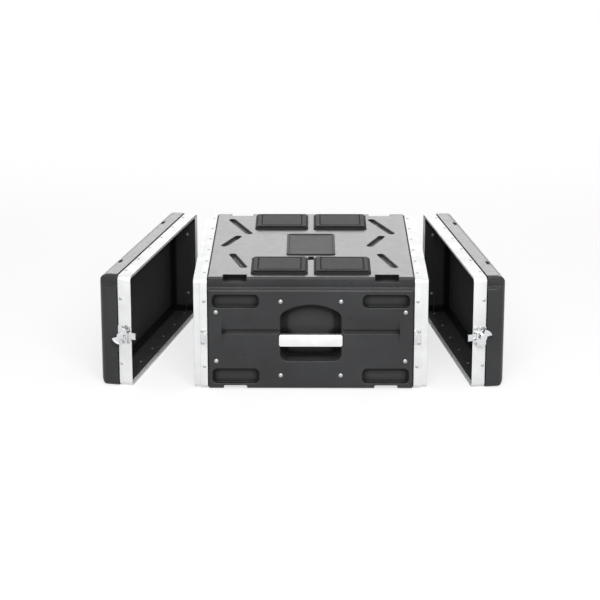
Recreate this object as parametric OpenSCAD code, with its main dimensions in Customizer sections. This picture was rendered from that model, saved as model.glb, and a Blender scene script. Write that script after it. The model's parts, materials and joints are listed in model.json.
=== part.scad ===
// Equipment rack case for 19 inch gear, with two lift-off lids.
// Millimetres. X runs front (-) to rear (+), Y from the right side (-) to the left side (+), Z up.
// The origin is the middle of the underside. The lids stand off the case as in the photo.

/* [Case] */
// Depth of the body between the two seats where the lids close
seat_span = 456; // [370:1:600]
// Width across the moulded sides
case_w = 552; // [545:1:680]
// Height of the moulded shell without pads
case_h = 240; // [215:1:420]
// Outer corner radius along the body
case_r = 12; // [11:1:36]
// Wall of the moulded shells
wall = 8; // [6.6:0.1:10]
// How far the top shoulder of the sides is set in
shoulder_in = 5; // [1:0.5:5]
// Height of the shoulder below the top
shoulder_h = 28; // [14:1:34]
// Height of the slope at the foot of the shoulder
shoulder_slope = 7; // [3:0.5:10]

/* [Valances] */
// How far the bright valance lies below the moulded outside
ring_set = 1.5; // [1.3:0.1:2.5]
// Thickness of the valance legs
leg_t = 2; // [1.4:0.1:2.4]
// Length of the valance leg over the shell
clamp_l = 15; // [12:0.5:20]
// Length of the tongue that enters the lid
tongue_l = 13; // [9:0.5:16]
// Thickness of the tongue
tongue_t = 2.5; // [1.8:0.1:3]
// Gap between the tongue and the lid groove on each side
groove_gap = 1.1; // [0.9:0.1:1.6]
// Width of the strip of shell left bare beside a valance
edge_groove = 2; // [1:0.5:6]

/* [Lids] */
// Depth of a lid from its rim to its outer face
lid_d = 69; // [57:1:90]
// Radius round the outer face of a lid
lid_r = 20; // [8:1:20]
// Turn of the front lid where it stands off the case, in degrees
front_lid_angle = 11.5; // [6:0.5:20]
// Distance of the front lid swing axis behind the left side
front_axis_back = 163; // [120:1:260]
// Turn of the rear lid where it stands off the case, in degrees
rear_lid_angle = 8; // [6:0.5:20]
// Distance of the rear lid swing axis behind the left side
rear_axis_back = 208; // [120:1:260]
// Distance of the strap channels of a lid from its middle
lid_channel_y = 168; // [100:1:200]
// Width of the strap channels of a lid
lid_channel_w = 22; // [12:1:40]
// Depth of the strap channels of a lid
lid_channel_d = 4; // [2:0.5:5]

/* [Latches] */
// Height of the latches below the middle of the case
latch_drop = 6; // [-20:1:20]
// Height of a latch base along the rim
latch_h = 41; // [34:1:60]
// Length of a wing lobe from the wing axis
wing_l = 18; // [12:0.5:18]
// Turn of the wing when the latch is open, in degrees
wing_angle = 50; // [0:5:90]
// Outward turn of the hook when the latch is open, in degrees
hook_open = 18; // [14:1:24]
// Width of the hook
hook_w = 14; // [10:0.5:18]
// Reach of the hook past the rim
hook_reach = 13; // [11:0.5:14]
// Sheet thickness of latch base and keeper
latch_t = 1.5; // [1:0.1:2]
// Height of the keeper lip
lip_h = 4.5; // [3.5:0.1:5.5]

/* [Handles] */
// Width of the handle opening
cup_w = 126; // [105:1:150]
// Height of the handle opening
cup_h = 121; // [96:1:130]
// Depth of the handle recess from the outside
cup_d = 38; // [30:1:42]
// Wall of the handle cup
cup_t = 3; // [2:0.5:4]
// Length of the grip bar
grip_l = 131; // [110:1:160]
// Height of the grip bar
grip_h = 25; // [18:1:34]
// Thickness of the grip bar
grip_t = 10; // [7:0.5:12]

/* [Rack] */
// Rack units that the rails carry
rack_u = 4; // [2:1:8]
// Sheet thickness of the rails
rail_t = 2; // [1.5:0.1:3]
// Setback of the rail face behind the seat
rail_back = 20; // [18:1:60]
// Width of the rail flange on the side wall
rail_w = 22; // [18:1:24]
// Radius of the rack screw holes
rack_hole_r = 2.4; // [2:0.1:3.5]

/* [Top] */
// Height of the stacking pads
pad_h = 7; // [4:0.5:10]
// Gap between the two pads of a row
pad_gap = 12; // [8:1:40]
// Length of a pad along the width of the case
pad_l = 122; // [90:1:130]
// Width of the stiffening grooves
slash_w = 15; // [6:0.5:16]
// Depth of the stiffening grooves
slash_d = 5; // [2:0.5:5.5]
// Thickness of the bare badge plate
badge_t = 2.5; // [1.5:0.1:4]

/* [Fits] */
// Gap between shell edge and valance legs
edge_fit = 0.25; // [0.1:0.05:0.4]
// Gap between rim and seat of a closed lid
seat_gap = 0.4; // [0.3:0.05:0.8]
// Radial gap of rivets in their holes
rivet_fit = 0.05; // [0.03:0.01:0.15]
// Radial gap of turning pins and shafts
run_fit = 0.05; // [0.02:0.01:0.1]
// Gap round parts let into an opening
let_in = 0.4; // [0.2:0.05:0.6]

/* [Hidden] */
$fn = 48;
eps = 1;
seat_x = seat_span / 2;
mid_z = case_h / 2;
half_w = case_w / 2;
in_w = half_w - wall;
// Valance ring
ring_w = case_w - 2 * ring_set;
ring_h = case_h - 2 * ring_set;
ring_y = ring_w / 2;
leg_x0 = seat_x - clamp_l;
main_x = leg_x0 - edge_groove;
neck_in = ring_set + leg_t + edge_fit;
neck_x = seat_x - leg_t - edge_fit;
inner_leg = wall + edge_fit;
tongue_in = ring_set + leg_t + groove_gap;
// Lid, counted from its rim outward
tongue_room = 1.2;
lid_web = tongue_l + tongue_room;
lid_clamp = lid_web + clamp_l - leg_t;
lid_neck = lid_web + leg_t + edge_fit;
lid_main = lid_clamp + edge_groove;
guard_u = 3;
field_edge = 48;
field_r = 12;
// Rivets
head_r = 4.5;
head_h = 1.6;
small_head_r = 3.6;
small_head_h = 1.2;
shank_r = 2;
tail_h = 1.5;
tail_r = 3.2;
ring_rivets_n = 6;
ring_rivet_edge = 46;
ring_rivet_dz = 70;
ring_grip = inner_leg + leg_t - ring_set;
body_rivet_x = (leg_x0 + neck_x) / 2;
lid_rivet_u = (lid_neck + lid_clamp) / 2;
// Latch, counted from the rim outward and from the valance face out
latch_z = mid_z - latch_drop;
base_u0 = 2;
base_u1 = 28;
pin_u = 8;
pin_n = 8;
pin_r = 1.5;
barrel_r = 3.2;
ear_t = 2;
ear_gap = 0.6;
hub_u = 20;
hub_r = 6;
hub_n = 9;
wing_gap = 0.3;
wing_n = 12;
wing_t = 3;
shaft_r = 3;
wing_disc_r = 7;
wing_spread = 32;
wing_lip_w = 2.5;
wing_lip_h = 1.8;
base_r = 3;
hook_t = 2;
hook_tip = 2;
lip_gap = 0.5;
lip_t = 1.5;
rivet_edge = 4.5;
latch_rivet_z = latch_h / 2 - rivet_edge;
latch_rivet_u = [base_u0 + rivet_edge, base_u0 + rivet_edge + 10];
lip_u = hook_reach - hook_tip - lip_gap;
keeper_h = 32;
keeper_rivet_z = 12.5;
keeper_u0 = 1;
keeper_u1 = 13.6;
keeper_rivet_u = 5;
// Handle
cup_below = 58;
cup_z0 = mid_z - cup_below;
cup_top_r = 18;
cup_low_r = 16;
cup_zt = cup_z0 + cup_h;
cup_arch = 30;
cup_side = cup_zt - cup_arch;
crown_a = cup_w / 2 - cup_top_r;
crown_b = cup_arch;
crown_r = (crown_a * crown_a + crown_b * crown_b - cup_top_r * cup_top_r)
    / (2 * (crown_b - cup_top_r));
flange_m = 8;
flange_edge = 6;
cup_rivet_x = 62;
cup_rivet_over = 7;
cup_rivet_under = 31;
cup_rivet_top = cup_zt + cup_rivet_over;
cup_rivet_low = cup_z0 - cup_rivet_under;
grip_drop = 14.5;
grip_z = mid_z - grip_drop;
grip_out = 1;
grip_r = 4;
post_r = 8;
post_x = cup_w / 2 - post_r - 1;
screw_r = 2.5;
screw_head_r = 4.5;
screw_head_h = 3;
screw_in = 7;
// Side relief
band_end = 45;
band_x = seat_x - band_end;
// Lines of the band, from the top down: height over the middle and depth
band = [[38, 0], [9.5, 3.2], [7, 5.5], [1, 5.5], [0.5, 3], [-26, 0]];
notch_back = 72;
notch_x = seat_x - notch_back;
notch_w = 48;
notch_y = 28;
notch_z = 9;
pocket_w = 96;
pocket_dx = 1;
pocket_d = 5.5;
pocket_r = 10;
top_pocket = [36, 63];
low_pocket = [14, 45];
boss_t = 5;
// Rack
unit_h = 44.45;
rack_w = 465.1;
hole_step = 15.875;
rail_over = 10;
rail_h = rack_u * unit_h + rail_over;
rail_z = mid_z - rail_h / 2;
rail_x = seat_x - rail_back;
hole_edge = 6.5;
rail_edge = rack_w / 2 - hole_edge;
rail_rivet_in = 13;
rail_rivet_x = rail_x - rail_rivet_in;
rail_rivet_z = [mid_z - 58, mid_z + 47];
// Top
pad_back = 104;
pad_x1 = seat_x - pad_back;
pad_edge = 30;
pad_y1 = half_w - pad_edge;
pad_r = 8;
pad_step = 4.5;
pad_low = pad_h / 2;
stack_d = 3;
stack_gap = 2;
badge_x = 52;
badge_y = [-94, 78];
badge_r = 6;
dimple = [12, 26, 4];
dimple_r = 5;
dimple_y = -121;
slash_back = 71;
slash_x = seat_x - slash_back;
// Radius of the round hollow that is slash_w wide and slash_d deep
slash_r = (slash_w * slash_w / 4 + slash_d * slash_d) / (2 * slash_d);
// Middle, half run along X and half run along Y of each groove
slashes = [[[0, 150], [-23, 67]], [[-16, 22], [16, 45]], [[4, -140], [-15, 56]]];

// Shared outlines and placement

module rounded(w, h, r) {
    square([w - 2 * r, h], center = true);
    square([w, h - 2 * r], center = true);
    for (sx = [-1, 1], sy = [-1, 1])
        translate([sx * (w / 2 - r), sy * (h / 2 - r)])
            circle(r);
}

// Outline of the case section, set in by i
module section(i) {
    translate([0, mid_z])
        rounded(case_w - 2 * i, case_h - 2 * i, case_r - i);
}

// Extrudes a drawing of Y and Z from x0 to x1
module along_x(x0, x1) {
    translate([x0, 0, 0])
        rotate([90, 0, 90])
            linear_extrude(x1 - x0)
                children();
}

// Extrudes a drawing of X and Z from y0 to y1
module along_y(y0, y1) {
    translate([0, y1, 0])
        rotate([90, 0, 0])
            linear_extrude(y1 - y0)
                children();
}

// Band that follows the section between two set-ins
module ring(i0, i1, x0, x1) {
    along_x(x0, x1)
        difference() {
            section(i0);
            section(i1);
        }
}

// Front work is drawn at -X and the right side at -Y, then mirrored
module flip(sx, sy) {
    mirror([sx > 0 ? 1 : 0, 0, 0])
        mirror([0, sy > 0 ? 1 : 0, 0])
            children();
}

module both_sides() {
    for (sy = [-1, 1])
        flip(-1, sy)
            children();
}

module four_corners() {
    for (sx = [-1, 1], sy = [-1, 1])
        flip(sx, sy)
            children();
}

// A lid is drawn closed at the front, then swung to where it stands
module lid_place(sx) {
    axis_y = half_w + (sx > 0 ? rear_axis_back : front_axis_back);
    mirror([sx > 0 ? 1 : 0, 0, 0])
        translate([-seat_x, axis_y, 0])
            rotate([0, 0, sx > 0 ? -rear_lid_angle : -front_lid_angle])
                translate([-seat_gap, -axis_y, 0])
                    children();
}

// Latch parts are drawn at the rim of the closed right side: -X outward, -Y off the valance
module latch_place(sx, sy) {
    lid_place(sx)
        flip(-1, sy)
            translate([0, -ring_y, latch_z])
                children();
}

module keeper_place(sx, sy) {
    flip(sx, sy)
        translate([-seat_x, -ring_y, latch_z])
            children();
}

// Domed rivet with its head on z = 0 and its shank below
module blind_rivet(hr, hh, grip) {
    ball = (hr * hr + hh * hh) / (2 * hh);
    intersection() {
        translate([0, 0, hh - ball])
            sphere(ball);
        cylinder(r = hr + eps, h = hh + eps);
    }
    translate([0, 0, -grip])
        cylinder(r = shank_r, h = grip + hh / 2);
}

// The same with a tail behind the grip
module rivet(hr, hh, grip) {
    blind_rivet(hr, hh, grip);
    translate([0, 0, -grip - tail_h])
        cylinder(r = tail_r, h = tail_h);
}

// Children stand on the right side wall at x, z, and point out of it
module on_side(x, y, z) {
    translate([x, -y, z])
        rotate([90, 0, 0])
            children();
}

// Places along a valance, pointing out of it, at x along the body
module ring_places(x) {
    for (sy = [-1, 1], sz = [-1, 1])
        translate([x, sy * ring_y, mid_z + sz * ring_rivet_dz])
            rotate([-sy * 90, 0, 0])
                children();
    for (sz = [-1, 1], k = [0 : ring_rivets_n - 1]) {
        y = -half_w + ring_rivet_edge + k * (case_w - 2 * ring_rivet_edge) / (ring_rivets_n - 1);
        translate([x, y, mid_z + sz * ring_h / 2])
            rotate([sz > 0 ? 0 : 180, 0, 0])
                children();
    }
}

module ring_holes(x) {
    ring_places(x)
        translate([0, 0, -ring_grip - eps])
            cylinder(r = shank_r + rivet_fit, h = ring_grip + 2 * eps);
}

module ring_rivets(x) {
    ring_places(x)
        rivet(small_head_r, small_head_h, ring_grip);
}

// Cut that sets in the top shoulder of both sides
module shoulder_cut(x0, x1) {
    both_sides()
        along_x(x0, x1)
            polygon([
                [-half_w - eps, case_h + eps],
                [-half_w + shoulder_in, case_h + eps],
                [-half_w + shoulder_in, case_h - shoulder_h + shoulder_slope],
                [-half_w, case_h - shoulder_h],
                [-half_w - eps, case_h - shoulder_h]
            ]);
}

// Body shell

// Long band across the side, drawn in towards one deep line
module band_cut() {
    top = mid_z + band[0][0];
    low = mid_z + band[len(band) - 1][0];
    both_sides()
        along_x(-band_x, band_x)
            polygon([
                [-half_w - eps, top],
                for (b = band) [-half_w + b[1], mid_z + b[0]],
                [-half_w - eps, low]
            ]);
}

// Shallow pockets round the notches, in the upper and lower part of a side
module pocket_cut() {
    four_corners()
        for (p = [[case_h - top_pocket[1], case_h - top_pocket[0]], low_pocket])
            translate([-notch_x + pocket_dx, 0, (p[0] + p[1]) / 2])
                along_y(-half_w - eps, -half_w + pocket_d)
                    rounded(pocket_w, p[1] - p[0], pocket_r);
}

module notch_box(grow, deep) {
    translate([-notch_x - notch_w / 2 - grow, -half_w - eps, -eps])
        cube([notch_w + 2 * grow, notch_y + eps + deep, notch_z + eps + deep]);
}

// Strap notches in the long edges, at top and bottom
module notch_cut() {
    four_corners() {
        notch_box(0, 0);
        translate([0, 0, case_h])
            mirror([0, 0, 1])
                notch_box(0, 0);
    }
}

module notch_bosses() {
    intersection() {
        along_x(-main_x, main_x)
            section(wall / 2);
        four_corners() {
            notch_box(boss_t, boss_t);
            translate([0, 0, case_h])
                mirror([0, 0, 1])
                    notch_box(boss_t, boss_t);
        }
    }
}

// Slanted grooves in the top, the same set at both ends
module slash_cut() {
    for (sx = [-1, 1], s = slashes) {
        end = norm(s[1]) - slash_w / 2;
        translate([sx * slash_x + s[0][0], s[0][1], case_h - slash_d + slash_r])
            rotate([0, 90, atan2(s[1][1], s[1][0])]) {
                cylinder(r = slash_r, h = 2 * end, center = true);
                for (e = [-end, end])
                    translate([0, 0, e])
                        sphere(r = slash_r);
            }
    }
    translate([0, dimple_y, case_h - dimple[2]])
        linear_extrude(dimple[2] + eps)
            rounded(dimple[0], dimple[1], dimple_r);
}

// Outline of one pad, grown by g
module pad_outline(g) {
    pad_w = pad_x1 - pad_gap / 2;
    translate([-(pad_x1 + pad_gap / 2) / 2, -pad_y1 + pad_l / 2])
        rounded(pad_w + 2 * g, pad_l + 2 * g, pad_r + g);
}

// Pockets under the base that take the pads of a case below
module stack_cut() {
    four_corners()
        translate([0, 0, -eps])
            linear_extrude(stack_d + eps)
                pad_outline(stack_gap);
}

module body_shell() {
    color("dimgray")
        difference() {
            union() {
                difference() {
                    union() {
                        along_x(-main_x, main_x)
                            section(0);
                        along_x(-neck_x, neck_x)
                            section(neck_in);
                    }
                    along_x(-neck_x - eps, neck_x + eps)
                        section(wall);
                }
                notch_bosses();
            }
            shoulder_cut(-main_x - eps, main_x + eps);
            band_cut();
            pocket_cut();
            notch_cut();
            slash_cut();
            stack_cut();
            for (sx = [-1, 1])
                ring_holes(sx * body_rivet_x);
            both_sides() {
                along_y(-half_w - eps, -in_w + eps)
                    handle_outline(0);
                along_y(-half_w - eps, -in_w + eps)
                    grip_outline(let_in);
                cup_rivet_places()
                    side_hole();
            }
            four_corners()
                rail_rivet_places()
                    side_hole();
        }
}

// Valances

module body_valance(sx) {
    color("silver")
        flip(sx, -1)
            difference() {
                union() {
                    ring(ring_set, ring_set + leg_t, -seat_x, -leg_x0);
                    ring(ring_set, inner_leg + leg_t, -seat_x, -seat_x + leg_t);
                    ring(inner_leg, inner_leg + leg_t, -seat_x, -leg_x0);
                    ring(tongue_in, tongue_in + tongue_t, -seat_x - tongue_l, -seat_x + leg_t);
                }
                ring_holes(-body_rivet_x);
            }
}

module body_rivets(sx) {
    color("gainsboro")
        flip(sx, -1)
            ring_rivets(-body_rivet_x);
}

module lid_valance(sx) {
    color("silver")
        lid_place(sx)
            difference() {
                union() {
                    ring(ring_set, ring_set + leg_t, -lid_clamp, 0);
                    ring(ring_set, inner_leg + leg_t, -lid_web - leg_t, -lid_web);
                    ring(inner_leg, inner_leg + leg_t, -lid_clamp, -guard_u);
                }
                ring_holes(-lid_rivet_u);
            }
}

module lid_rivets(sx) {
    color("gainsboro")
        lid_place(sx)
            ring_rivets(-lid_rivet_u);
}

// Lid shell

// Block with the rounding round the outer face, set in by i
module lid_block(u0, i) {
    intersection() {
        along_x(-lid_d + i, -u0)
            section(i);
        along_y(-half_w, half_w)
            translate([0, mid_z])
                rounded(2 * (lid_d - i), case_h - 2 * i, lid_r);
        linear_extrude(case_h)
            rounded(2 * (lid_d - i), case_w - 2 * i, lid_r);
    }
}

// Strap channels down the outer face, with a notch at each end
module lid_channels() {
    for (sy = [-1, 1])
        translate([-lid_d - eps, sy * lid_channel_y - lid_channel_w / 2, 0]) {
            translate([0, 0, -eps])
                cube([lid_channel_d + eps, lid_channel_w, case_h + 2 * eps]);
            for (z = [-eps, case_h - lid_channel_d])
                translate([0, 0, z])
                    cube([lid_r + eps, lid_channel_w, lid_channel_d + eps]);
        }
}

// Shallow bare field in the middle of the outer face
module lid_field() {
    along_x(-lid_d - eps, -lid_d + lid_channel_d / 2)
        translate([0, mid_z])
            rounded(2 * lid_channel_y - 3 * lid_channel_w, case_h - 2 * field_edge, field_r);
}

module lid_shell(sx) {
    color("dimgray")
        lid_place(sx)
            difference() {
                union() {
                    lid_block(lid_main, 0);
                    along_x(-lid_main - wall, -lid_neck)
                        section(neck_in);
                }
                along_x(-lid_d + wall, 0)
                    section(wall);
                shoulder_cut(-lid_d - eps, -lid_main + eps);
                lid_channels();
                lid_field();
                ring_holes(-lid_rivet_u);
            }
}

// Handles

// Opening of the handle, grown by g: low round corners and an arched top
module handle_outline(g) {
    reach = crown_r + g;
    far = 2 * crown_r / (crown_r - cup_top_r);
    centre = cup_zt - crown_r;
    translate([-cup_w / 2 - g, cup_z0 + cup_low_r])
        square([cup_w + 2 * g, cup_side - cup_z0 - cup_low_r]);
    translate([-cup_w / 2 + cup_low_r, cup_z0 - g])
        square([cup_w - 2 * cup_low_r, cup_low_r + g + eps]);
    for (s = [-1, 1]) {
        translate([s * (cup_w / 2 - cup_low_r), cup_z0 + cup_low_r])
            circle(cup_low_r + g);
        translate([s * crown_a, cup_side])
            circle(cup_top_r + g);
    }
    intersection() {
        translate([0, centre])
            circle(reach);
        polygon([
            [0, centre],
            [far * crown_a, centre + far * (cup_side - centre)],
            [-far * crown_a, centre + far * (cup_side - centre)]
        ]);
    }
}

module cup_rivet_places() {
    for (x = [-cup_rivet_x, cup_rivet_x], z = [cup_rivet_low, cup_rivet_top])
        on_side(x, half_w, z)
            children();
}

module side_hole() {
    translate([0, 0, -wall - cup_t - eps])
        cylinder(r = shank_r + rivet_fit, h = wall + cup_t + 2 * eps);
}

// Outline of the grip bar, grown by g
module grip_outline(g) {
    translate([0, grip_z])
        rounded(grip_l + 2 * g, grip_h + 2 * g, grip_r + g);
}

module handle_cup(sy) {
    back = half_w - cup_d;
    color("darkslategray")
        flip(-1, sy)
            difference() {
                union() {
                    intersection() {
                        along_y(-in_w, -in_w + cup_t)
                            translate([0, (cup_rivet_low + cup_rivet_top) / 2])
                                rounded(cup_w + 2 * flange_m + 2 * cup_t,
                                    cup_rivet_top - cup_rivet_low + 2 * flange_edge, flange_m);
                        along_x(-cup_w, cup_w)
                            section(wall);
                    }
                    along_y(-in_w, -back + cup_t)
                        handle_outline(cup_t);
                }
                difference() {
                    along_y(-in_w - eps, -back)
                        handle_outline(0);
                    for (x = [-post_x, post_x])
                        on_side(x, back - eps, grip_z)
                            cylinder(r = post_r, h = half_w - grip_out - grip_t - back + eps);
                }
                along_y(-half_w, -half_w + grip_out + grip_t)
                    grip_outline(let_in);
                for (x = [-post_x, post_x])
                    on_side(x, back - cup_t - eps, grip_z)
                        cylinder(r = screw_r + rivet_fit, h = cup_d);
                cup_rivet_places()
                    side_hole();
            }
}

module handle_grip(sy) {
    face = half_w - grip_out;
    color("gainsboro")
        flip(-1, sy)
            difference() {
                along_y(-face, -face + grip_t)
                    grip_outline(0);
                for (x = [-post_x, post_x])
                    on_side(x, face - grip_t - eps, grip_z)
                        cylinder(r = screw_r + rivet_fit, h = screw_in + eps + rivet_fit);
            }
}

module handle_rivets() {
    color("gainsboro")
        both_sides()
            cup_rivet_places()
                rivet(head_r, head_h, wall + cup_t);
}

module grip_screws() {
    foot = half_w - cup_d - cup_t;
    color("gray")
        both_sides()
            for (x = [-post_x, post_x]) {
                on_side(x, foot - screw_head_h, grip_z)
                    cylinder(r = screw_head_r, h = screw_head_h);
                on_side(x, foot - screw_head_h, grip_z)
                    cylinder(r = screw_r, h = screw_head_h + half_w - grip_out - grip_t + screw_in - foot);
            }
}

// Rack rails

module rail_rivet_places() {
    for (z = rail_rivet_z)
        on_side(-rail_rivet_x, half_w, z)
            children();
}

module rack_rail(sx, sy) {
    color("slategray")
        flip(sx, sy)
            difference() {
                union() {
                    translate([-rail_x, -in_w, rail_z])
                        cube([rail_w, rail_t, rail_h]);
                    translate([-rail_x, -in_w, rail_z])
                        cube([rail_t, in_w - rail_edge, rail_h]);
                }
                rail_rivet_places()
                    side_hole();
                for (u = [0 : rack_u - 1], k = [-1, 0, 1])
                    translate([-rail_x - eps, -rack_w / 2,
                            mid_z + (u + 0.5 - rack_u / 2) * unit_h + k * hole_step])
                        rotate([0, 90, 0])
                            cylinder(r = rack_hole_r, h = rail_t + 2 * eps);
            }
}

module rail_rivets() {
    color("gainsboro")
        four_corners()
            rail_rivet_places()
                rivet(head_r, head_h, wall + rail_t);
}

// Top

module stacking_pad(sx, sy) {
    color("black")
        flip(sx, sy)
            translate([0, 0, case_h]) {
                linear_extrude(pad_low)
                    pad_outline(0);
                linear_extrude(pad_h)
                    pad_outline(-pad_step);
            }
}

module badge_plate() {
    color("black")
        translate([0, (badge_y[0] + badge_y[1]) / 2, case_h])
            linear_extrude(badge_t)
                rounded(2 * badge_x, badge_y[1] - badge_y[0], badge_r);
}

// Latches

module latch_rivet_places() {
    for (u = latch_rivet_u, z = [-latch_rivet_z, latch_rivet_z])
        translate([-u, -latch_t, z])
            rotate([90, 0, 0])
                children();
}

module latch_base(sx, sy) {
    ear_z = hook_w / 2 + ear_gap;
    color("lightsteelblue")
        latch_place(sx, sy)
            difference() {
                union() {
                    along_y(-latch_t, 0)
                        translate([-(base_u0 + base_u1) / 2, 0])
                            rounded(base_u1 - base_u0, latch_h, base_r);
                    for (z = [-ear_z - ear_t, ear_z]) {
                        translate([-pin_u - barrel_r, -pin_n, z])
                            cube([2 * barrel_r, pin_n, ear_t]);
                        translate([-pin_u, -pin_n, z])
                            cylinder(r = barrel_r, h = ear_t);
                    }
                    translate([-hub_u, 0, 0])
                        rotate([90, 0, 0])
                            cylinder(r = hub_r, h = hub_n);
                }
                translate([-pin_u, -pin_n, -latch_h / 2])
                    cylinder(r = pin_r, h = latch_h);
                translate([-hub_u, -latch_t, 0])
                    rotate([90, 0, 0])
                        cylinder(r = shaft_r + run_fit, h = hub_n);
                latch_rivet_places()
                    translate([0, 0, -latch_t - eps])
                        cylinder(r = shank_r + rivet_fit, h = latch_t + 2 * eps);
            }
}

module hook_pins(sx) {
    pin_h = hook_w + 2 * (ear_gap + ear_t);
    color("gray")
        for (sy = [-1, 1])
            latch_place(sx, sy)
                translate([-pin_u, -pin_n, -pin_h / 2])
                    cylinder(r = pin_r, h = pin_h);
}

module latch_rivets(sx) {
    color("gainsboro")
        for (sy = [-1, 1])
            latch_place(sx, sy)
                latch_rivet_places()
                    blind_rivet(small_head_r, small_head_h, latch_t);
}

// Two fan-shaped lobes, opposite each other
module wing_lobes() {
    half = wing_l * tan(wing_spread);
    intersection() {
        circle(wing_l);
        union()
            for (s = [-1, 1])
                polygon([[0, 0], [s * wing_l, -half], [s * wing_l, half]]);
    }
}

module latch_wing(sx, sy) {
    color("silver")
        latch_place(sx, sy)
            translate([-hub_u, 0, 0])
                rotate([0, sx * wing_angle, 0])
                    rotate([90, 0, 0]) {
                        translate([0, 0, latch_t + wing_gap])
                            cylinder(r = shaft_r, h = wing_n - latch_t);
                        translate([0, 0, hub_n + wing_gap])
                            cylinder(r = wing_disc_r, h = wing_n - hub_n + wing_t);
                        translate([0, 0, wing_n])
                            linear_extrude(wing_t)
                                wing_lobes();
                        translate([0, 0, wing_n])
                            linear_extrude(wing_t + wing_lip_h)
                                difference() {
                                    wing_lobes();
                                    circle(wing_l - wing_lip_w);
                                }
                    }
}

module latch_hook(sx, sy) {
    low = lip_h + lip_gap;
    color("silver")
        latch_place(sx, sy)
            translate([-pin_u, -pin_n, 0])
                rotate([0, 0, -hook_open])
                    translate([pin_u, pin_n, -hook_w / 2])
                        difference() {
                            union() {
                                translate([-pin_u, -pin_n, 0])
                                    cylinder(r = barrel_r, h = hook_w);
                                translate([-pin_u, -low - hook_t, 0])
                                    cube([pin_u + hook_reach, hook_t, hook_w]);
                                translate([hook_reach - hook_tip, -low - hook_t, 0])
                                    cube([hook_tip, low + hook_t - latch_t - lip_gap, hook_w]);
                            }
                            translate([-pin_u, -pin_n, -eps])
                                cylinder(r = pin_r + run_fit, h = hook_w + 2 * eps);
                        }
}

module keeper_rivet_places() {
    for (z = [-keeper_rivet_z, keeper_rivet_z])
        translate([keeper_rivet_u, -latch_t, z])
            rotate([90, 0, 0])
                children();
}

module latch_keeper(sx, sy) {
    color("lightsteelblue")
        keeper_place(sx, sy)
            difference() {
                union() {
                    translate([keeper_u0, -latch_t, -keeper_h / 2])
                        cube([keeper_u1 - keeper_u0, latch_t, keeper_h]);
                    translate([lip_u - lip_t, -lip_h, -hook_w / 2])
                        cube([lip_t, lip_h, hook_w]);
                }
                keeper_rivet_places()
                    translate([0, 0, -latch_t - eps])
                        cylinder(r = shank_r + rivet_fit, h = latch_t + 2 * eps);
            }
}

module keeper_rivets() {
    color("gainsboro")
        for (sx = [-1, 1], sy = [-1, 1])
            keeper_place(sx, sy)
                keeper_rivet_places()
                    blind_rivet(small_head_r, small_head_h, latch_t);
}

body_shell();
body_valance(-1);  // front_body_valance
body_valance(1);  // rear_body_valance
body_rivets(-1);  // front_body_rivets
body_rivets(1);  // rear_body_rivets
rack_rail(-1, -1);  // rail_front_right
rack_rail(-1, 1);  // rail_front_left
rack_rail(1, -1);  // rail_rear_right
rack_rail(1, 1);  // rail_rear_left
rail_rivets();
handle_cup(-1);  // handle_cup_right
handle_cup(1);  // handle_cup_left
handle_grip(-1);  // handle_grip_right
handle_grip(1);  // handle_grip_left
handle_rivets();
grip_screws();
stacking_pad(-1, -1);  // pad_front_right
stacking_pad(-1, 1);  // pad_front_left
stacking_pad(1, -1);  // pad_rear_right
stacking_pad(1, 1);  // pad_rear_left
badge_plate();
latch_keeper(-1, -1);  // keeper_front_right
latch_keeper(-1, 1);  // keeper_front_left
latch_keeper(1, -1);  // keeper_rear_right
latch_keeper(1, 1);  // keeper_rear_left
keeper_rivets();
lid_shell(-1);  // front_lid_shell
lid_valance(-1);  // front_lid_valance
lid_rivets(-1);  // front_lid_rivets
latch_base(-1, -1);  // latch_base_front_right
latch_base(-1, 1);  // latch_base_front_left
hook_pins(-1);  // front_hook_pins
latch_rivets(-1);  // front_latch_rivets
lid_shell(1);  // rear_lid_shell
lid_valance(1);  // rear_lid_valance
lid_rivets(1);  // rear_lid_rivets
latch_base(1, -1);  // latch_base_rear_right
latch_base(1, 1);  // latch_base_rear_left
hook_pins(1);  // rear_hook_pins
latch_rivets(1);  // rear_latch_rivets
latch_wing(-1, -1);  // wing_front_right
latch_wing(-1, 1);  // wing_front_left
latch_wing(1, -1);  // wing_rear_right
latch_wing(1, 1);  // wing_rear_left
latch_hook(-1, -1);  // hook_front_right
latch_hook(-1, 1);  // hook_front_left
latch_hook(1, -1);  // hook_rear_right
latch_hook(1, 1);  // hook_rear_left
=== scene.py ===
"""Looks of the rack case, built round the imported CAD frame. Metres, Z up, X from front to rear."""
import json
import math

import bmesh
import bpy
from mathutils import Matrix, Vector

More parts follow.
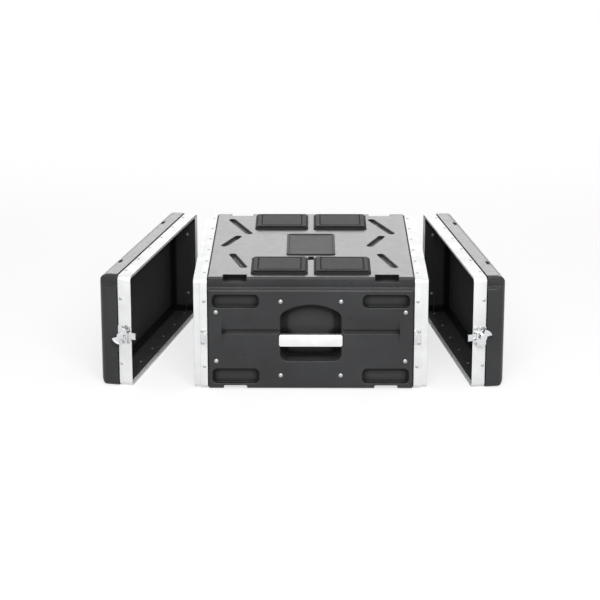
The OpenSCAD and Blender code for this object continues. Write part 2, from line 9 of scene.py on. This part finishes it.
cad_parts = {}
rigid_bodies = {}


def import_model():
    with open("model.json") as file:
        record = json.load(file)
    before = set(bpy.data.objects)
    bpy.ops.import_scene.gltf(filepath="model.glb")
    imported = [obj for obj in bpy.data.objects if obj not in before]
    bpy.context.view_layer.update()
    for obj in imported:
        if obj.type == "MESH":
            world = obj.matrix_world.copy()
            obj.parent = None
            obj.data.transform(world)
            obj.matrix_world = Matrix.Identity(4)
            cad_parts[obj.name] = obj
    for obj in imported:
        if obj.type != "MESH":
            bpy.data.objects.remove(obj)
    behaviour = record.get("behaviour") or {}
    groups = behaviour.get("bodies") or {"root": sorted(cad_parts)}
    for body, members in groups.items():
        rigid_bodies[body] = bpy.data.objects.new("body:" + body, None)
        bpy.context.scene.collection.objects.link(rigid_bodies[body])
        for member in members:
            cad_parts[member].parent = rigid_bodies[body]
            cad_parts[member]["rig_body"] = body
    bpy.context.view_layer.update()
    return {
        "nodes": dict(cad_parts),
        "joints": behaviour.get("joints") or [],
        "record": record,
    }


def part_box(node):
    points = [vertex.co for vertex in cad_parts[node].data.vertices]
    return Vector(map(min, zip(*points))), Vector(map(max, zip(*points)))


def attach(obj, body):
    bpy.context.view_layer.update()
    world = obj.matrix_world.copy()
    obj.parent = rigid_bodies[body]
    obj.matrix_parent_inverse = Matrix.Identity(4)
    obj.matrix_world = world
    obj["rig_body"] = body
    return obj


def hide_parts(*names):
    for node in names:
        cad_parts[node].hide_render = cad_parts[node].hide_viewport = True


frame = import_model()
nodes = frame["nodes"]
joints = {j["name"]: j for j in frame["joints"]}
SLOT = {p["node"]: p["material_slot"] for p in frame["record"]["subparts"]}
BODY = {n: o["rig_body"] for n, o in nodes.items()}
ENDS = {"front": -1, "rear": 1}
SIDES = {"right": -1, "left": 1}
CORNERS = [end + "_" + side for end in ENDS for side in SIDES]
MM = 0.001


def box_mm(node):
    """Lowest and highest corner of a node at rest, in millimetres."""
    return [Vector(corner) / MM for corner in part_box(node)]


# Sizes that the pieces share with the CAD model, in millimetres

WALL = 8  # thickness of the mouldings
CASE_R = 12  # corner radius of the case section
LID_D = 69  # depth of a lid
RING = 1.5  # set-in of the valances from the outer skin
LEG = 2  # thickness of a valance
EDGE_FIT = 0.25  # clearance of a moulding in its valance
CLAMP = 15  # reach of a valance over the moulding
TONGUE = 13  # reach of the tongue past the seat
TONGUE_T = 2.5  # thickness of the tongue
TONGUE_ROOM = 1.2  # clearance past the tip of the tongue
GROOVE_GAP = 1.1  # clearance beside the tongue
SEAT_GAP = 0.4  # gap between closed valances
GUARD = 3  # set-back of the lid valance's inner leg
CUP_W = 126  # width of the handle opening
CUP_D = 38  # depth of the handle recess
CUP_LOW = 62  # height of the opening's lower edge
CUP_TOP = 183  # height of the top of its arch
CUP_LOW_R = 16  # radius of its lower corners
CUP_TOP_R = 18  # radius of its upper corners
CUP_ARCH = 30  # rise of its arch

HALF_W = box_mm("body_shell")[1].y
HALF_H = box_mm("body_shell")[1].z / 2
SEAT = box_mm("rear_body_valance")[1].x - TONGUE
INNER_LEG = WALL + EDGE_FIT
TONGUE_IN = RING + LEG + GROOVE_GAP
LID_WEB = TONGUE + TONGUE_ROOM
LID_CLAMP = LID_WEB + CLAMP - LEG


# Placement

def closed_to_rest(end):
    """Matrix that carries a closed lid to where it stands at rest."""
    j = joints[end + "_lid_close"]
    pole = Matrix.Translation(Vector(j["pos_m"]))
    swing = Matrix.Rotation(-math.radians(j["range_deg"][1]), 4, Vector(j["axis"]))
    return pole @ swing @ pole.inverted()


REST = {e: closed_to_rest(e) for e in ENDS}
TURN = {e: REST[e].to_euler().z for e in ENDS}


def add(name, mesh, node, mats, place=None):
    """Links a mesh as the piece that stands for a CAD node."""
    if place is not None:
        mesh.transform(place)
    ob = bpy.data.objects.new(name, mesh)
    bpy.context.scene.collection.objects.link(ob)
    index = [min(f.material_index, len(mats) - 1) for f in mesh.polygons]
    mesh.materials.clear()
    for m in mats:
        mesh.materials.append(m)
    mesh.polygons.foreach_set("material_index", index)
    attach(ob, BODY[node])
    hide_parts(node)


# Shape tools

VOXEL = 0.0016  # in metres
WELD = 1e-5  # points nearer than this are one point, in metres
FLAT_ANGLE = math.radians(1)
BEVEL_ANGLE = math.radians(38)
SHARP_ANGLE = math.radians(40)
QUARTERS = ((1, 1, 0), (-1, 1, 90), (-1, -1, 180), (1, -1, 270))  # corners and where their arcs begin
SWEEP_STEPS = 10  # steps in each corner of a swept valance
SLAB_STEPS = 8  # steps in each corner of a slab
SLAB_LEAST_R = 0.4  # least corner radius of a slab's rings


def evaluated(mesh, build):
    """A new mesh: the given one after the modifiers that build(object) adds."""
    ob = bpy.data.objects.new("work", mesh)
    bpy.context.scene.collection.objects.link(ob)
    build(ob)
    deps = bpy.context.evaluated_depsgraph_get()
    out = bpy.data.meshes.new_from_object(ob.evaluated_get(deps))
    bpy.data.objects.remove(ob)
    return out


def edit(mesh, work):
    """Runs work(bmesh) on a mesh."""
    bm = bmesh.new()
    bm.from_mesh(mesh)
    work(bm)
    bm.to_mesh(mesh)
    bm.free()
    return mesh


def cad_mesh(node, place=None):
    """A welded copy of a CAD node's mesh."""
    mesh = nodes[node].data.copy()
    if place is not None:
        mesh.transform(place)
    return edit(mesh, lambda bm: bmesh.ops.remove_doubles(bm, verts=bm.verts, dist=WELD))


def moulded(node, keep, place=None):
    """The node's shape with the soft edges of a moulding; keep is the share of faces left."""
    def build(ob):
        remesh = ob.modifiers.new("remesh", "REMESH")
        remesh.mode = "VOXEL"
        remesh.voxel_size = VOXEL
        ob.modifiers.new("smooth", "SMOOTH")
        thin = ob.modifiers.new("thin", "DECIMATE")
        thin.ratio = keep
    mesh = evaluated(cad_mesh(node, place), build)
    mesh.shade_smooth()
    return mesh


def softened(node, width, segments=2):
    """The node's shape with its sharp edges rounded over a width in millimetres."""
    mesh = edit(cad_mesh(node), lambda bm: bmesh.ops.dissolve_limit(
        bm, angle_limit=FLAT_ANGLE, verts=bm.verts, edges=bm.edges))

    def build(ob):
        bevel = ob.modifiers.new("bevel", "BEVEL")
        bevel.width = width * MM
        bevel.segments = segments
        bevel.limit_method = "ANGLE"
        bevel.angle_limit = BEVEL_ANGLE
    out = evaluated(mesh, build)
    out.shade_smooth()
    out.set_sharp_from_angle(angle=SHARP_ANGLE)
    return out


def finish_mesh(name, verts, faces, sharp):
    """A mesh in metres from points in millimetres, faces turned outward, creased past sharp degrees."""
    mesh = bpy.data.meshes.new(name)
    mesh.from_pydata([(x * MM, y * MM, z * MM) for x, y, z in verts], [], faces)
    edit(mesh, lambda bm: bmesh.ops.recalc_face_normals(bm, faces=bm.faces))
    mesh.shade_smooth()
    mesh.set_sharp_from_angle(angle=math.radians(sharp))
    return mesh


def rounded_loop(points):
    """Rounds the corners of a closed loop of (u, v, radius) points."""
    most = 0.45  # share of a side that a rounding may take
    out = []
    for k, (u, v, r) in enumerate(points):
        p = Vector((u, v))
        a = Vector(points[k - 1][:2]) - p
        b = Vector(points[(k + 1) % len(points)][:2]) - p
        r = min(r, a.length * most, b.length * most)
        q0, q1 = p + a.normalized() * r, p + b.normalized() * r
        for f in (0.0, 0.33, 0.67, 1.0):
            q = (1 - f) ** 2 * q0 + 2 * f * (1 - f) * p + f * f * q1
            out.append((q.x, q.y))
    return out


def sweep_ring(profile, dark_inset=math.inf):
    """Sweeps (x, inset) points round the case section; faces set in further than the given inset take the
    second material.
    """
    path = []
    for cy, cz, start in QUARTERS:
        for k in range(SWEEP_STEPS + 1):
            a = math.radians(start + 90 * k / SWEEP_STEPS)
            path.append((cy, cz, math.cos(a), math.sin(a)))
    verts = []
    for cy, cz, c, s in path:
        for x, inset in profile:
            r = CASE_R - inset
            verts.append((x, cy * (HALF_W - CASE_R) + r * c, HALF_H + cz * (HALF_H - CASE_R) + r * s))
    n, m = len(path), len(profile)
    pairs = [(a, b) for a in range(n) for b in range(m)]
    faces = [(a * m + b, (a + 1) % n * m + b, (a + 1) % n * m + (b + 1) % m, a * m + (b + 1) % m)
             for a, b in pairs]
    mesh = finish_mesh("ring", verts, faces, sharp=45)
    for face, (a, b) in zip(mesh.polygons, pairs):
        face.material_index = int(min(profile[b][1], profile[(b + 1) % m][1]) > dark_inset)
    return mesh


def ringed(node, radius, rings):
    """A rounded slab in the node's box, from rings of (inset, drop under the top); None is the foot."""
    lo, hi = box_mm(node)
    verts = []
    for inset, drop in rings:
        r = max(radius - inset, SLAB_LEAST_R)
        z = lo.z if drop is None else hi.z - drop
        for cx, cy, start in QUARTERS:
            x = (hi.x if cx > 0 else lo.x) - cx * (inset + r)
            y = (hi.y if cy > 0 else lo.y) - cy * (inset + r)
            for k in range(SLAB_STEPS + 1):
                a = math.radians(start + 90 * k / SLAB_STEPS)
                verts.append((x + r * math.cos(a), y + r * math.sin(a), z))
    n = len(QUARTERS) * (SLAB_STEPS + 1)
    last = (len(rings) - 1) * n
    faces = [(k + a, k + (a + 1) % n, k + n + (a + 1) % n, k + n + a)
             for k in range(0, last, n) for a in range(n)]
    faces += [tuple(range(n)), tuple(range(last, last + n))]
    return finish_mesh(node, verts, faces, sharp=50)


# Material tools

def new_mat(name):
    mat = bpy.data.materials.new(name)
    mat.use_nodes = True
    tree = mat.node_tree
    return mat, tree, tree.nodes["Principled BSDF"]


def link(tree, a, out, b, socket):
    tree.links.new(a.outputs[out], b.inputs[socket])


def coords(tree, scale=(1, 1, 1), turn=0.0):
    """Object coordinates, turned about Z and then scaled."""
    tc = tree.nodes.new("ShaderNodeTexCoord")
    mp = tree.nodes.new("ShaderNodeMapping")
    mp.vector_type = "TEXTURE"
    mp.inputs["Rotation"].default_value = (0, 0, turn)
    mp.inputs["Scale"].default_value = tuple(1 / s for s in scale)
    link(tree, tc, "Object", mp, "Vector")
    return mp


def noise(tree, vec, scale, detail, rough=0.55):
    n = tree.nodes.new("ShaderNodeTexNoise")
    n.inputs["Scale"].default_value = scale
    n.inputs["Detail"].default_value = detail
    n.inputs["Roughness"].default_value = rough
    link(tree, vec, "Vector", n, "Vector")
    return n


def ramp(tree, src, stops, out="Fac"):
    """Colour ramp over one output of a node; a stop is (place, grey or colour)."""
    r = tree.nodes.new("ShaderNodeValToRGB")
    for el, (pos, col) in zip(r.color_ramp.elements, stops):
        el.position = pos
        el.color = (*col, 1) if isinstance(col, tuple) else (col, col, col, 1)
    link(tree, src, out, r, "Fac")
    return r


def larger(tree, a, b):
    """The larger value of two ramps."""
    node = tree.nodes.new("ShaderNodeMath")
    node.operation = "MAXIMUM"
    link(tree, a, "Color", node, 0)
    link(tree, b, "Color", node, 1)
    return node


def colour_mix(tree, blend):
    node = tree.nodes.new("ShaderNodeMix")
    node.data_type = "RGBA"
    node.blend_type = blend
    return node


def bump(tree, bsdf, src, out, strength, distance, onto=None):
    """Bump on a shader, on top of another bump where one is given."""
    b = tree.nodes.new("ShaderNodeBump")
    b.inputs["Strength"].default_value = strength
    b.inputs["Distance"].default_value = distance
    link(tree, src, out, b, "Height")
    if onto:
        link(tree, onto, "Normal", b, "Normal")
    link(tree, b, "Normal", bsdf, "Normal")
    return b


# Finish of moulded plastic: noise scales per metre, lengths in metres, ramp stops as (place, value)

MOTTLE_SCALE = 9
SCUFF_SCALE = 38
SCUFF_STRETCH = (1, 6, 1)
SCUFF_STOPS = [(0.66, 0.0), (0.84, 0.6)]
WORN_EDGE_STOPS = [(0.52, 0.0), (0.62, 0.25)]
WORN_LIGHT = 1.8  # how much lighter a rubbed place is
# Ambient occlusion of the part's own shape, within a reach: it paints shade into hollows and makes them
# matt
OCCLUSION_REACH = 0.016
OCCLUSION_SAMPLES = 8
PAINTED_SHADE_STOPS = [(0.84, 0.03), (0.975, 1.0)]
OCCLUDED_MATT_STOPS = [(0.86, 0.95), (0.97, 0.0)]
SHEEN_SCALE = 60
SHEEN_SPREAD = 0.02
GRAIN_DEPTH = 0.0002
FINE_GRAIN = 2.3  # scale of the fine grain beside the pebble grain
FINE_SHARE = 0.5  # depth and strength of the fine grain beside the pebble grain


def plastic(name, dark, light, rough, grain, relief, gloss, turn=0.0):
    """Moulded plastic: mottled colour, a pebble grain, rubbed marks and edges, and painted shade in its
    hollows, which are also made matt.
    """
    mat, t, p = new_mat(name)
    p.inputs["Specular IOR Level"].default_value = gloss
    v = coords(t, turn=turn)
    mottle = ramp(t, noise(t, v, MOTTLE_SCALE, detail=4), [(0.3, dark), (0.7, light)])
    scuff = noise(t, coords(t, SCUFF_STRETCH, turn), SCUFF_SCALE, detail=6, rough=0.7)
    edge = ramp(t, t.nodes.new("ShaderNodeNewGeometry"), WORN_EDGE_STOPS, "Pointiness")
    worn = colour_mix(t, "MIX")
    worn.inputs["B"].default_value = tuple(c * WORN_LIGHT for c in light) + (1,)
    link(t, larger(t, ramp(t, scuff, SCUFF_STOPS), edge), "Value", worn, "Factor")
    link(t, mottle, "Color", worn, "A")
    # Painted shade: the ambient occlusion darkens the base colour in hollows, grooves and creases
    occlusion = t.nodes.new("ShaderNodeAmbientOcclusion")
    occlusion.samples = OCCLUSION_SAMPLES
    occlusion.only_local = True
    occlusion.inputs["Distance"].default_value = OCCLUSION_REACH
    # The base colour times the painted shade
    with_painted_shade = colour_mix(t, "MULTIPLY")
    with_painted_shade.inputs["Factor"].default_value = 1.0
    link(t, worn, "Result", with_painted_shade, "A")
    link(t, ramp(t, occlusion, PAINTED_SHADE_STOPS, "AO"), "Color", with_painted_shade, "B")
    link(t, with_painted_shade, "Result", p, "Base Color")
    sheen = noise(t, v, SHEEN_SCALE, detail=5)
    sheen = ramp(t, sheen, [(0.3, rough - SHEEN_SPREAD), (0.7, rough + SHEEN_SPREAD)])
    matt = ramp(t, occlusion, OCCLUDED_MATT_STOPS, "AO")
    link(t, larger(t, sheen, matt), "Value", p, "Roughness")
    pebble = t.nodes.new("ShaderNodeTexVoronoi")
    pebble.feature = "SMOOTH_F1"
    pebble.inputs["Scale"].default_value = grain
    link(t, v, "Vector", pebble, "Vector")
    coarse = bump(t, p, pebble, "Distance", relief, GRAIN_DEPTH)
    fine = noise(t, v, grain * FINE_GRAIN, detail=2)
    bump(t, p, fine, "Fac", relief * FINE_SHARE, GRAIN_DEPTH * FINE_SHARE, coarse)
    return mat


# Finish of metal

TARNISH_SCALE = 22
TARNISH = 0.9  # how much darker a dull place is
STREAK_SMOOTHER = 0.07
STREAK_ROUGHER = 0.09
STREAK_RELIEF = 0.15
STREAK_DEPTH = 0.0001


def metal(name, colour, rough, streak, metallic=1.0, turn=0.0):
    """Metal drawn or brushed along the directions in which streak is small."""
    mat, t, p = new_mat(name)
    p.inputs["Metallic"].default_value = metallic
    dull = tuple(c * TARNISH for c in colour)
    clouds = noise(t, coords(t), TARNISH_SCALE, detail=4)
    link(t, ramp(t, clouds, [(0.35, dull), (0.65, colour)]), "Color", p, "Base Color")
    lines = noise(t, coords(t, streak, turn), scale=1, detail=4, rough=0.6)
    sheen = ramp(t, lines, [(0.3, rough - STREAK_SMOOTHER), (0.7, rough + STREAK_ROUGHER)])
    link(t, sheen, "Color", p, "Roughness")
    bump(t, p, lines, "Fac", STREAK_RELIEF, STREAK_DEPTH)
    return mat


# Materials

BLACK = ((0.037, 0.0375, 0.0395), (0.053, 0.054, 0.0565))
INSIDE = ((0.037, 0.0375, 0.0385), (0.050, 0.0505, 0.0515))
CUP = ((0.040, 0.0405, 0.042), (0.054, 0.0545, 0.056))
RUBBER = ((0.016, 0.016, 0.017), (0.024, 0.024, 0.025))
PLATE = ((0.026, 0.026, 0.028), (0.036, 0.036, 0.038))
COAT = ((0.022, 0.022, 0.024), (0.030, 0.030, 0.032))
ALU = (0.88, 0.885, 0.89)
GRIP = (0.93, 0.93, 0.935)
RIVET = (0.44, 0.445, 0.45)
ZINC = (0.72, 0.73, 0.74)
SCREW = (0.62, 0.62, 0.60)
DRAWN_ROUND = (2600, 6, 6)  # streaks round the case section
DRAWN_ALONG = (8, 2400, 2400)  # streaks along X

shell_mat = plastic("moulded_shell", *BLACK, rough=0.29, grain=620, relief=0.22, gloss=0.26)
lid_mat = {e: plastic(e + "_lid_moulded", *BLACK, rough=0.27, grain=620, relief=0.22, gloss=0.26,
                      turn=TURN[e]) for e in ENDS}
inside_mat = plastic("shell_inside", *INSIDE, rough=0.70, grain=520, relief=0.4, gloss=0.2)
cup_mat = plastic("moulded_cup", *CUP, rough=0.50, grain=900, relief=0.15, gloss=0.3)
pad_mat = plastic("pad_rubber", *RUBBER, rough=0.64, grain=420, relief=0.45, gloss=0.2)
badge_mat = plastic("badge_plate", *PLATE, rough=0.55, grain=1100, relief=0.25, gloss=0.2)
rail_mat = plastic("rail_coat", *COAT, rough=0.38, grain=1500, relief=0.2, gloss=0.5)
ring_mat = metal("valance_aluminium", ALU, rough=0.60, streak=DRAWN_ROUND, metallic=0.5)
lid_ring_mat = {e: metal(e + "_lid_aluminium", ALU, rough=0.60, streak=DRAWN_ROUND, metallic=0.5,
                         turn=TURN[e]) for e in ENDS}
grip_mat = metal("grip_aluminium", GRIP, rough=0.5, streak=DRAWN_ALONG, metallic=0.7)
rivet_mat = metal("rivet_aluminium", RIVET, rough=0.48, streak=(300, 300, 300))
latch_mat = metal("latch_zinc", ZINC, rough=0.24, streak=(160, 160, 900))
screw_mat = metal("screw_zinc", SCREW, rough=0.30, streak=(700, 700, 700))


# Camera, as fitted to the photograph

EYE = (0, -4.375, 1.397)
AIM = (-0.0236, 0, 0.1127)
LENS = 125.2
SENSOR = 36


def aimed(ob, place, aim):
    """Stands an object at a place and turns it to look at a point."""
    ob.location = place
    ob.rotation_euler = (Vector(aim) - Vector(place)).to_track_quat("-Z", "Y").to_euler()
    bpy.context.scene.collection.objects.link(ob)


cam = bpy.data.cameras.new("camera")
cam.lens = LENS
cam.sensor_width = SENSOR
eye = bpy.data.objects.new("camera", cam)
aimed(eye, EYE, AIM)
bpy.context.scene.camera = eye


# Moulded shells, matt inside

SKIN = 5.5  # depth from the outer faces at which the inside begins
BODY_KEEP = 0.16  # shares of the remeshed faces that are left
LID_KEEP = 0.4


def line_inside(mesh, x_in):
    """Gives the second material to faces that lie further in than the skin."""
    limit = Vector((x_in, HALF_W - SKIN, HALF_H - SKIN)) * MM
    for f in mesh.polygons:
        x, y, z = f.center
        if abs(x) < limit.x and abs(y) < limit.y and abs(z - HALF_H * MM) < limit.z:
            f.material_index = 1


shell = moulded("body_shell", BODY_KEEP)
line_inside(shell, SEAT)
add("body_moulding", shell, "body_shell", [shell_mat, inside_mat])
for end in ENDS:
    shell = moulded(end + "_lid_shell", LID_KEEP, REST[end].inverted())
    line_inside(shell, SEAT + LID_D - SKIN)
    add(end + "_lid_moulding", shell, end + "_lid_shell", [lid_mat[end], inside_mat], REST[end])


# Aluminium valances, swept round the section

EDGE = 0.6  # rounding of a free edge, in millimetres like the others
SEAT_EDGE = 0.5  # rounding of the edge on which the lid seats
NOTCH = 0.4  # rounding of a leg's inner edge and of the tongue's foot
TIP = 0.9  # rounding of the tongue's tip
ROOT = 0.2  # rounding in the corner of a groove
DARK_LEG_SLACK = 0.1  # tolerance by which the inner face of the lid valance's inner leg is found; that face takes the dark inside material


def body_profile():
    """Points (x, inset, rounding) of a body valance: two legs round the moulding, and the tongue."""
    back, tip = SEAT - CLAMP, SEAT + TONGUE
    web = SEAT - LEG
    far = TONGUE_IN + TONGUE_T
    return [(back, RING, EDGE), (SEAT, RING, SEAT_EDGE), (SEAT, TONGUE_IN, NOTCH), (tip, TONGUE_IN, TIP),
            (tip, far, TIP), (SEAT, far, NOTCH), (SEAT, INNER_LEG + LEG, EDGE),
            (back, INNER_LEG + LEG, EDGE), (back, INNER_LEG, NOTCH), (web, INNER_LEG, ROOT),
            (web, RING + LEG, ROOT), (back, RING + LEG, NOTCH)]


def lid_profile():
    """Points (x, inset, rounding) of a lid valance: the groove before its web, the moulding behind."""
    rim = SEAT + SEAT_GAP
    guard, back = rim + GUARD, rim + LID_CLAMP
    web = rim + LID_WEB
    return [(rim, RING, EDGE), (back, RING, EDGE), (back, RING + LEG, NOTCH),
            (web + LEG, RING + LEG, ROOT), (web + LEG, INNER_LEG, ROOT), (back, INNER_LEG, NOTCH),
            (back, INNER_LEG + LEG, EDGE), (guard, INNER_LEG + LEG, EDGE), (guard, INNER_LEG, NOTCH),
            (web, INNER_LEG, ROOT), (web, RING + LEG, ROOT), (rim, RING + LEG, EDGE)]


for end, s in ENDS.items():
    loop = rounded_loop([(s * x, inset, r) for x, inset, r in body_profile()])
    add(end + "_body_profile", sweep_ring(loop), end + "_body_valance", [ring_mat])
    loop = rounded_loop([(s * x, inset, r) for x, inset, r in lid_profile()])
    # The inner face of the inner leg takes the dark material of the shell's inside instead of aluminium
    ring = sweep_ring(loop, dark_inset=INNER_LEG + LEG - DARK_LEG_SLACK)
    add(end + "_lid_profile", ring, end + "_lid_valance", [lid_ring_mat[end], inside_mat], REST[end])


# Handle cups: the CAD shell of the cup and a dished lining

ARC_STEPS = 10
LINING_ROWS = 14
LINING_FIT = 0.998  # the lining's share of the opening
LINING_SKIN = 0.6  # height of the lining's front over the cup's back
LINING_GAP = 0.1  # height of the lining's rear over the cup's back
WALL_BEND = 1.6  # how late the walls draw in
BACK_BEND = 2.2  # how early the walls reach the back
DRAW_SIDE, DRAW_TOP, DRAW_LOW = 0.20, 0.22, 0.10  # shares by which the walls draw in
DRAW_Z = 105  # height towards which they draw in
HUB_Z = 115  # height of the middle of the back
CUP_EASE = 0.8  # rounding of the cup's own edges


def cup_outline():
    """Points (x, z) of the handle opening, counter-clockwise from the low right corner."""
    a, b, r = CUP_W / 2 - CUP_TOP_R, CUP_ARCH, CUP_TOP_R
    big = (a * a + b * b - r * r) / (2 * (b - r))
    side, centre = CUP_TOP - CUP_ARCH, CUP_TOP - big
    lean = math.degrees(math.atan2(side - centre, a))
    low_x, low_z = CUP_W / 2 - CUP_LOW_R, CUP_LOW + CUP_LOW_R
    arcs = [(low_x, low_z, CUP_LOW_R, -90, 0), (a, side, r, 0, lean), (0, centre, big, lean, 180 - lean),
            (-a, side, r, 180 - lean, 180), (-low_x, low_z, CUP_LOW_R, 180, 270)]
    least = 0.05  # points nearer than this are one point
    out = []
    for x, z, rad, t0, t1 in arcs:
        for k in range(ARC_STEPS + 1):
            t = math.radians(t0 + (t1 - t0) * k / ARC_STEPS)
            p = (x + rad * math.cos(t), z + rad * math.sin(t))
            if not out or math.dist(p, out[-1]) > least:
                out.append(p)
    return out


def dish(sy):
    """Closed lining of the cup: sloped, rounded walls and a flat back."""
    line = cup_outline()
    lip, back = HALF_W - WALL, HALF_W - CUP_D
    rows = []
    for k in range(LINING_ROWS + 1):
        f = k / LINING_ROWS
        draw = f ** WALL_BEND
        y = sy * (lip - (lip - back - LINING_SKIN) * (1 - (1 - f) ** BACK_BEND))
        for x, z in line:
            top = max(0.0, (z - DRAW_Z) / (CUP_TOP - DRAW_Z))
            shrink = draw * (DRAW_TOP * top + DRAW_LOW * (1 - top))
            rows.append((x * LINING_FIT * (1 - DRAW_SIDE * draw), y, DRAW_Z + (z - DRAW_Z) * (1 - shrink)))
    n = len(line)
    last, hub = LINING_ROWS * n, len(rows)
    rear, rear_y = hub + 1, sy * (back + LINING_GAP)
    verts = rows + [(0, rows[last][1], HUB_Z)]
    verts += [(x * LINING_FIT, rear_y, DRAW_Z + (z - DRAW_Z) * LINING_FIT) for x, z in line]
    verts += [(0, rear_y, HUB_Z)]
    faces = []
    for b in range(n):
        c = (b + 1) % n
        faces += [(a + b, a + c, a + n + c, a + n + b) for a in range(0, last, n)]
        faces += [(last + b, last + c, hub), (b, c, rear + c, rear + b), (rear + b, rear + c, rear + n)]
    return finish_mesh("dish", verts, faces, sharp=60)


def joined(*meshes):
    """One mesh out of several."""
    bm = bmesh.new()
    for m in meshes:
        bm.from_mesh(m)
    out = bpy.data.meshes.new("joined")
    bm.to_mesh(out)
    bm.free()
    return out


for side, sy in SIDES.items():
    cup = "handle_cup_" + side
    add("handle_dish_" + side, joined(softened(cup, CUP_EASE), dish(sy)), cup, [cup_mat])


# Smaller pieces that keep the CAD shape with softened edges: rounding in millimetres, and places

FITTINGS = {"rail_": (rail_mat, 0.6, CORNERS),
            "keeper_": (latch_mat, 0.4, CORNERS),
            "latch_base_": (latch_mat, 0.4, CORNERS),
            "wing_": (latch_mat, 0.7, CORNERS),
            "hook_": (latch_mat, 0.5, CORNERS),
            "handle_grip_": (grip_mat, 2.5, SIDES)}
for start, (mat, width, places) in FITTINGS.items():
    for place in places:
        n = start + place
        add(n + "_piece", softened(n, width, segments=3), n, [mat])


# Pads, stepped and crowned with a groove round the middle, and the bare badge plate in its raised frame

PAD_R = 9
PAD = [(0, None), (0, 4.4), (0.25, 3.9), (0.8, 3.6), (3.4, 3.5), (4.0, 3.3), (4.3, 2.8), (4.6, 1.6),
       (5.2, 0.8), (6.4, 0.4), (8.5, 0.25), (13.0, 0.2), (13.6, 1.1), (15.6, 1.1), (16.2, 0.15),
       (24, 0.06), (32, 0.02), (38, 0.0)]
BADGE_R = 8
BADGE = [(0, None), (0, 0.8), (0.25, 0.25), (0.9, 0.0), (4.2, 0.0), (4.9, 0.25), (5.3, 0.9), (6.0, 1.05),
         (30, 1.0), (48, 0.98)]
for place in CORNERS:
    n = "pad_" + place
    add(n + "_piece", ringed(n, PAD_R, PAD), n, [pad_mat])
add("badge_piece", ringed("badge_plate", BADGE_R, BADGE), "badge_plate", [badge_mat])


# Rivets, pins and screws with eased rims

RIM_EASE = 0.2
FASTENERS = {"rivet": rivet_mat, "screw": screw_mat}
for n in nodes:
    if SLOT[n] in FASTENERS:
        add(n + "_piece", softened(n, RIM_EASE), n, [FASTENERS[SLOT[n]]])


# Stage and light

FLOOR = [(-4, -6, 0), (4, -6, 0), (4, 2.6, 0), (-4, 2.6, 0)]
FLOOR_GREY = (0.45, 0.45, 0.45, 1)
FLOOR_ROUGH = 0.9
FLOOR_GLOSS = 0.1
FLOOR_GLOW = 0.69
FLOOR_R = 2.5  # distance at which the floor has faded to plain white
FADE_STOPS = [(0.0, 1.0), (0.45, 0.0)]
WHITE = (1, 1, 1, 1)
WORLD_LIGHT = 0.15


def area(name, place, aim, size, power):
    """A soft box that the camera does not see."""
    lamp = bpy.data.lights.new(name, "AREA")
    lamp.shape = "RECTANGLE"
    lamp.size, lamp.size_y = size
    lamp.energy = power
    ob = bpy.data.objects.new(name, lamp)
    ob.visible_camera = False
    aimed(ob, place, aim)


def seen_rays(tree, plain, shown):
    """Shows one shader to camera, glossy and transmission rays, and the plain one to the rest."""
    path = tree.nodes.new("ShaderNodeLightPath")
    for ray in ("Is Camera Ray", "Is Glossy Ray", "Is Transmission Ray"):
        pick = tree.nodes.new("ShaderNodeMixShader")
        link(tree, path, ray, pick, "Fac")
        link(tree, plain, 0, pick, 1)
        link(tree, shown, 0, pick, 2)
        plain = pick
    return plain


def floor_mat():
    """Pale floor that keeps shadows, glows to the camera and fades to white away from the object."""
    mat, t, p = new_mat("floor_white")
    p.inputs["Roughness"].default_value = FLOOR_ROUGH
    p.inputs["Specular IOR Level"].default_value = FLOOR_GLOSS
    p.inputs["Base Color"].default_value = FLOOR_GREY
    glow = t.nodes.new("ShaderNodeEmission")
    glow.inputs["Strength"].default_value = FLOOR_GLOW
    both = t.nodes.new("ShaderNodeAddShader")
    link(t, p, "BSDF", both, 0)
    link(t, glow, "Emission", both, 1)
    reach = t.nodes.new("ShaderNodeTexGradient")
    reach.gradient_type = "SPHERICAL"
    link(t, coords(t, (1 / FLOOR_R,) * 3), "Vector", reach, "Vector")
    rim = t.nodes.new("ShaderNodeEmission")
    fade = t.nodes.new("ShaderNodeMixShader")
    link(t, ramp(t, reach, FADE_STOPS), "Color", fade, "Fac")
    link(t, both, "Shader", fade, 1)
    link(t, rim, "Emission", fade, 2)
    link(t, seen_rays(t, p, fade), 0, t.nodes["Material Output"], "Surface")
    return mat


def studio_world():
    """Weak even light that shows as plain white."""
    world = bpy.data.worlds.new("studio")
    world.use_nodes = True
    t = world.node_tree
    soft = t.nodes["Background"]
    soft.inputs["Color"].default_value = WHITE
    soft.inputs["Strength"].default_value = WORLD_LIGHT
    white = t.nodes.new("ShaderNodeBackground")
    white.inputs["Color"].default_value = WHITE
    link(t, seen_rays(t, soft, white), 0, t.nodes["World Output"], "Surface")
    return world


ground = bpy.data.meshes.new("floor")
ground.from_pydata(FLOOR, [], [range(len(FLOOR))])
ground.materials.append(floor_mat())
floor = bpy.data.objects.new("floor", ground)
bpy.context.scene.collection.objects.link(floor)

bpy.context.scene.world = studio_world()
area("back_box", (0, 3.2, 1.3), aim=(0, 0, 0.2), size=(3.6, 1.1), power=30)
area("top_box", (0.2, -0.6, 3.0), aim=(0, 0, 0.1), size=(2.4, 1.6), power=10)
area("key_box", (0.2, -3.0, 2.1), aim=(0, 0, 0.12), size=(2.6, 1.4), power=87)
bpy.context.scene.view_settings.view_transform = "Standard"
